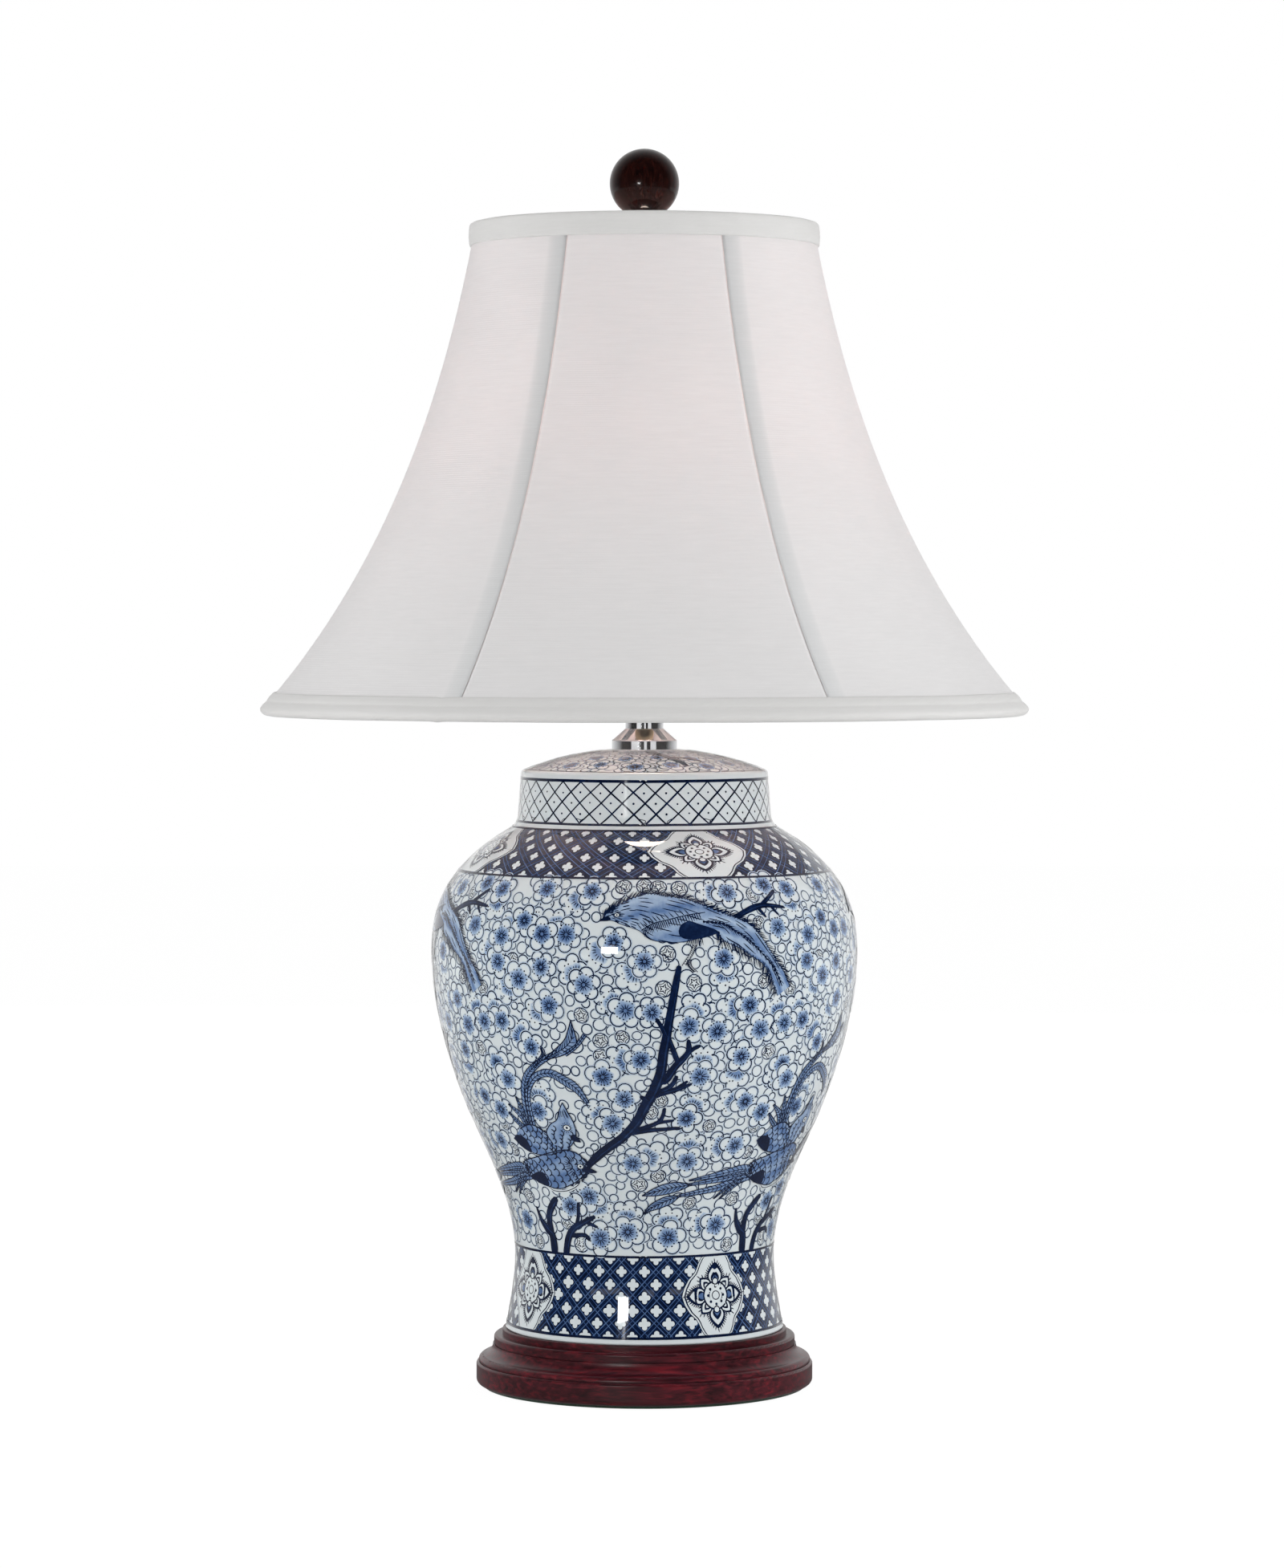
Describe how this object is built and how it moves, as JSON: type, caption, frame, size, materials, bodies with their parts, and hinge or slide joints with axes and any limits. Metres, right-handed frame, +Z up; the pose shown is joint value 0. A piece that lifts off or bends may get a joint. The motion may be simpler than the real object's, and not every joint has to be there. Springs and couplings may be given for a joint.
{
  "type": "table lamp",
  "caption": "Table lamp with a porcelain ginger jar body on a turned wooden base, a cloth bell shade on a wire harp and a round wooden finial.",
  "frame": {"origin": "centre of the felt pad's underside, on the table", "axes": "+Z up along the lamp's turned axis, -Y towards the switch knob, +Y towards the cord bushing"},
  "size_m": [0.4306, 0.4306, 0.697],
  "materials": {
    "felt": "matt felt",
    "base_wood": "satin lacquer, dark mahogany stain",
    "finial_wood": "gloss lacquer, espresso stain",
    "black_plastic": "moulded",
    "zinc_steel": "zinc plated",
    "nickel_steel": "nickel plated",
    "porcelain": "clear gloss glaze over blue painting",
    "black_rubber": "matt",
    "chrome": "polished",
    "socket_brass": "satin lacquered",
    "contact_brass": "bare",
    "liner_paper": "fibre paper",
    "socket_phenolic": "moulded phenolic",
    "bulb_insulator": "fired glass insulator",
    "bulb_aluminium": "rolled",
    "bulb_glass": "frosted inside",
    "clear_glass": "clear",
    "filament_steel": "drawn wire",
    "shade_cloth": "woven, off white",
    "lining_cloth": "woven, white",
    "shade_trim": "folded cloth tape, off white",
    "white_wire": "white enamel"
  },
  "bodies": {
    "lamp_body": {"base_felt": "felt", "wood_base": "base_wood", "cord_bushing": "black_plastic", "threaded_rod": "zinc_steel", "rod_washer": "zinc_steel", "rod_nut": "zinc_steel", "porcelain_jar": "porcelain", "jar_seat_gasket": "black_rubber", "jar_top_gasket": "black_rubber", "neck_ring": "chrome", "neck_tube": "chrome", "harp_saddle": "nickel_steel", "harp_wire": "nickel_steel", "harp_stud": "nickel_steel", "socket_cap": "socket_brass", "socket_set_screw": "zinc_steel", "socket_shell": "socket_brass", "socket_liner": "liner_paper", "socket_body": "socket_phenolic", "terminal_screw_left": "zinc_steel", "terminal_screw_right": "contact_brass", "socket_screw_shell": "contact_brass", "socket_center_contact": "contact_brass"},
    "switch": {"switch_shaft": "contact_brass", "switch_knob": "black_plastic"},
    "sleeve_left": {"harp_sleeve_left": "nickel_steel"},
    "sleeve_right": {"harp_sleeve_right": "nickel_steel"},
    "shade": {"shade_lining": "lining_cloth", "shade_top_ring": "white_wire", "shade_bottom_ring": "white_wire", "shade_ribs": "white_wire", "shade_top_trim": "shade_trim", "shade_bottom_trim": "shade_trim", "shade_hub": "nickel_steel", "shade_panel_1": "shade_cloth", "shade_panel_2": "shade_cloth", "shade_panel_3": "shade_cloth", "shade_panel_4": "shade_cloth", "shade_panel_5": "shade_cloth", "shade_panel_6": "shade_cloth", "shade_arm_1": "nickel_steel", "shade_arm_2": "nickel_steel", "shade_arm_3": "nickel_steel"},
    "finial_thread": {"finial_bush": "contact_brass"},
    "finial": {"finial_ball": "finial_wood"},
    "bulb_base": {"bulb_tip": "zinc_steel", "bulb_insulator": "bulb_insulator", "bulb_cap": "bulb_aluminium"},
    "bulb": {"bulb_globe": "bulb_glass", "bulb_stem": "clear_glass", "bulb_filament": "filament_steel"}
  },
  "joints": [
    {"name": "switch_turn", "type": "hinge", "parent": "lamp_body", "child": "switch", "pos_m": [0, -0.018, 0.409], "axis": [0, -1, 0], "continuous": true},
    {"name": "sleeve_left_lift", "type": "slide", "parent": "lamp_body", "child": "sleeve_left", "axis": [0, 0, 1], "range_m": [0, 0.012]},
    {"name": "sleeve_right_lift", "type": "slide", "parent": "lamp_body", "child": "sleeve_right", "axis": [0, 0, 1], "range_m": [0, 0.012]},
    {"name": "shade_swivel", "type": "hinge", "parent": "lamp_body", "child": "shade", "pos_m": [0, 0, 0.64], "axis": [0, 0, 1], "continuous": true},
    {"name": "finial_rise", "type": "slide", "parent": "lamp_body", "child": "finial_thread", "axis": [0, 0, 1], "range_m": [0, 0.00753]},
    {"name": "finial_turn", "type": "hinge", "parent": "finial_thread", "child": "finial", "pos_m": [0, 0, 0.65], "axis": [0, 0, 1], "range_deg": [0, 2880]},
    {"name": "bulb_rise", "type": "slide", "parent": "lamp_body", "child": "bulb_base", "axis": [0, 0, 1], "range_m": [0, 0.01815]},
    {"name": "bulb_turn", "type": "hinge", "parent": "bulb_base", "child": "bulb", "pos_m": [0, 0, 0.45], "axis": [0, 0, 1], "range_deg": [0, 1800]}
  ],
  "couplings": [
    {"joint": "finial_rise", "follows": "finial_turn", "m_per_rad": 0.00014972},
    {"joint": "bulb_rise", "follows": "bulb_turn", "m_per_rad": 0.00057757}
  ]
}
